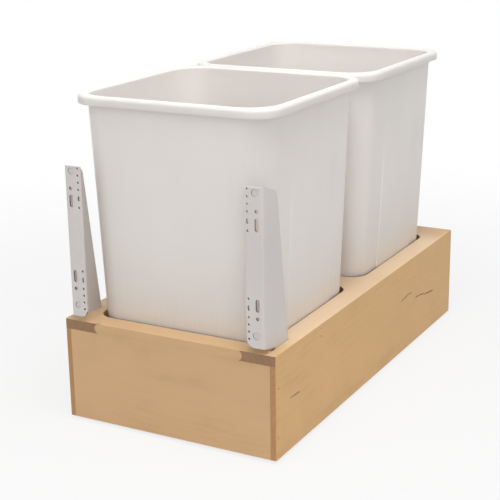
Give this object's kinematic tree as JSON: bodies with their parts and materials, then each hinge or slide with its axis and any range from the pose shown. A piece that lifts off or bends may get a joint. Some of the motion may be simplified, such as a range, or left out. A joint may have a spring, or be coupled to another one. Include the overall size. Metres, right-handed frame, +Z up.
{
  "type": "pull out bin frame",
  "caption": "Pull-out bin frame: a maple box with a flush deck holds tapered lift-out bins, rolls out on ball-bearing slides and carries a door on folded brackets.",
  "frame": {"origin": "on the cabinet floor, in the middle of the part's footprint when it is pushed in", "axes": "+Z up, +Y to the back of the cabinet, +X to the right as seen from the front; the frame pulls out along -Y"},
  "size_m": [0.28, 0.562, 0.394],
  "materials": {
    "maple_front": "clear lacquered maple",
    "maple_side": "clear lacquered maple",
    "maple_deck": "clear lacquered maple",
    "white_plastic": "fine satin",
    "bracket_paint": "light grey powder coat",
    "zinc_steel": "zinc plated",
    "rivet_aluminium": "plain",
    "ball_steel": "polished",
    "bumper_rubber": "matt",
    "dark_plastic": "satin"
  },
  "bodies": {
    "base": {"left_floor_angle": "zinc_steel", "right_floor_angle": "zinc_steel", "left_cabinet_rail": "zinc_steel", "right_cabinet_rail": "zinc_steel", "left_rail_bumper": "bumper_rubber", "right_rail_bumper": "bumper_rubber", "front_spreader": "zinc_steel", "rear_spreader": "zinc_steel", "spreader_rivets": "rivet_aluminium", "rail_rivets": "rivet_aluminium"},
    "frame": {"front_board": "maple_front", "back_board": "maple_front", "left_side_board": "maple_side", "right_side_board": "maple_side", "bottom_panel": "maple_side", "top_deck": "maple_deck", "frame_brads": "zinc_steel", "left_door_bracket": "bracket_paint", "right_door_bracket": "bracket_paint", "bracket_screws": "zinc_steel", "left_frame_rail": "zinc_steel", "right_frame_rail": "zinc_steel", "frame_rail_screws": "zinc_steel", "lever_pins": "zinc_steel"},
    "front_bin": {"front_bin": "white_plastic"},
    "rear_bin": {"rear_bin": "white_plastic"},
    "left_middle_rail": {"left_middle_rail": "zinc_steel"},
    "left_outer_cage": {"left_outer_ball_cage": "zinc_steel", "left_outer_balls": "ball_steel"},
    "left_inner_cage": {"left_inner_ball_cage": "zinc_steel", "left_inner_balls": "ball_steel"},
    "left_release_lever": {"left_release_lever": "dark_plastic"},
    "right_middle_rail": {"right_middle_rail": "zinc_steel"},
    "right_outer_cage": {"right_outer_ball_cage": "zinc_steel", "right_outer_balls": "ball_steel"},
    "right_inner_cage": {"right_inner_ball_cage": "zinc_steel", "right_inner_balls": "ball_steel"},
    "right_release_lever": {"right_release_lever": "dark_plastic"}
  },
  "joints": [
    {"name": "frame_pull", "type": "slide", "parent": "base", "child": "frame", "axis": [0, -1, 0], "range_m": [0, 0.5]},
    {"name": "front_bin_lift", "type": "slide", "parent": "frame", "child": "front_bin", "axis": [0, 0, 1], "range_m": [0, 0.35]},
    {"name": "rear_bin_lift", "type": "slide", "parent": "frame", "child": "rear_bin", "axis": [0, 0, 1], "range_m": [0, 0.35]},
    {"name": "left_middle_rail_run", "type": "slide", "parent": "base", "child": "left_middle_rail", "axis": [0, -1, 0], "range_m": [0, 0.25]},
    {"name": "left_outer_cage_run", "type": "slide", "parent": "base", "child": "left_outer_cage", "axis": [0, -1, 0], "range_m": [0, 0.125]},
    {"name": "left_inner_cage_run", "type": "slide", "parent": "base", "child": "left_inner_cage", "axis": [0, -1, 0], "range_m": [0, 0.375]},
    {"name": "left_lever_press", "type": "hinge", "parent": "frame", "child": "left_release_lever", "pos_m": [-0.1254, -0.217, 0.0225], "axis": [1, 0, 0], "range_deg": [-6, 6], "stiffness_Nm_per_rad": 0.02},
    {"name": "right_middle_rail_run", "type": "slide", "parent": "base", "child": "right_middle_rail", "axis": [0, -1, 0], "range_m": [0, 0.25]},
    {"name": "right_outer_cage_run", "type": "slide", "parent": "base", "child": "right_outer_cage", "axis": [0, -1, 0], "range_m": [0, 0.125]},
    {"name": "right_inner_cage_run", "type": "slide", "parent": "base", "child": "right_inner_cage", "axis": [0, -1, 0], "range_m": [0, 0.375]},
    {"name": "right_lever_press", "type": "hinge", "parent": "frame", "child": "right_release_lever", "pos_m": [0.1254, -0.217, 0.0225], "axis": [1, 0, 0], "range_deg": [-6, 6], "stiffness_Nm_per_rad": 0.02}
  ],
  "couplings": [
    {"joint": "left_middle_rail_run", "follows": "frame_pull", "ratio": 0.5},
    {"joint": "left_outer_cage_run", "follows": "frame_pull", "ratio": 0.25},
    {"joint": "left_inner_cage_run", "follows": "frame_pull", "ratio": 0.75},
    {"joint": "right_middle_rail_run", "follows": "frame_pull", "ratio": 0.5},
    {"joint": "right_outer_cage_run", "follows": "frame_pull", "ratio": 0.25},
    {"joint": "right_inner_cage_run", "follows": "frame_pull", "ratio": 0.75}
  ]
}
